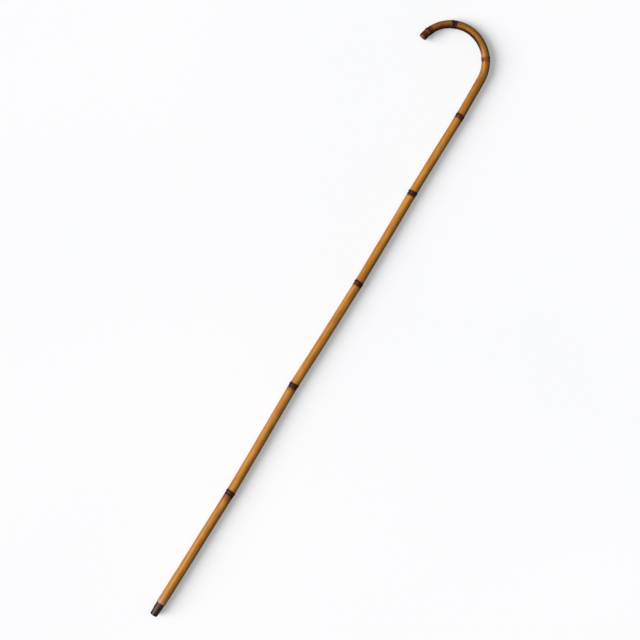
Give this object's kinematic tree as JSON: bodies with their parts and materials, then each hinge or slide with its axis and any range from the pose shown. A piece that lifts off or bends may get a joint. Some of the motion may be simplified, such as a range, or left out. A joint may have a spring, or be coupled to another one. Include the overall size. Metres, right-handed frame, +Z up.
{
  "type": "bamboo walking cane",
  "caption": "Slim bamboo walking cane with a heat-bent crook handle, scorched growth nodes and a small tapered steel ferrule, lying flat.",
  "frame": {"origin": "bottom centre of the bounding box, on the surface that the cane lies on", "axes": "+Y from the ferrule towards the crook, +Z up away from the surface, the crook's nose on the -X side"},
  "size_m": [0.1212, 0.8964, 0.0141],
  "materials": {
    "bamboo": "satin lacquer",
    "plug_wood": "bare cut wood",
    "ferrule_steel": "dull patina",
    "wear_steel": "blackened"
  },
  "bodies": {
    "root": {"culm": "bamboo", "tip_plug": "plug_wood", "nose_plug": "plug_wood", "ferrule_tube": "ferrule_steel", "ferrule_disc": "wear_steel", "ferrule_brads": "wear_steel"}
  },
  "joints": []
}
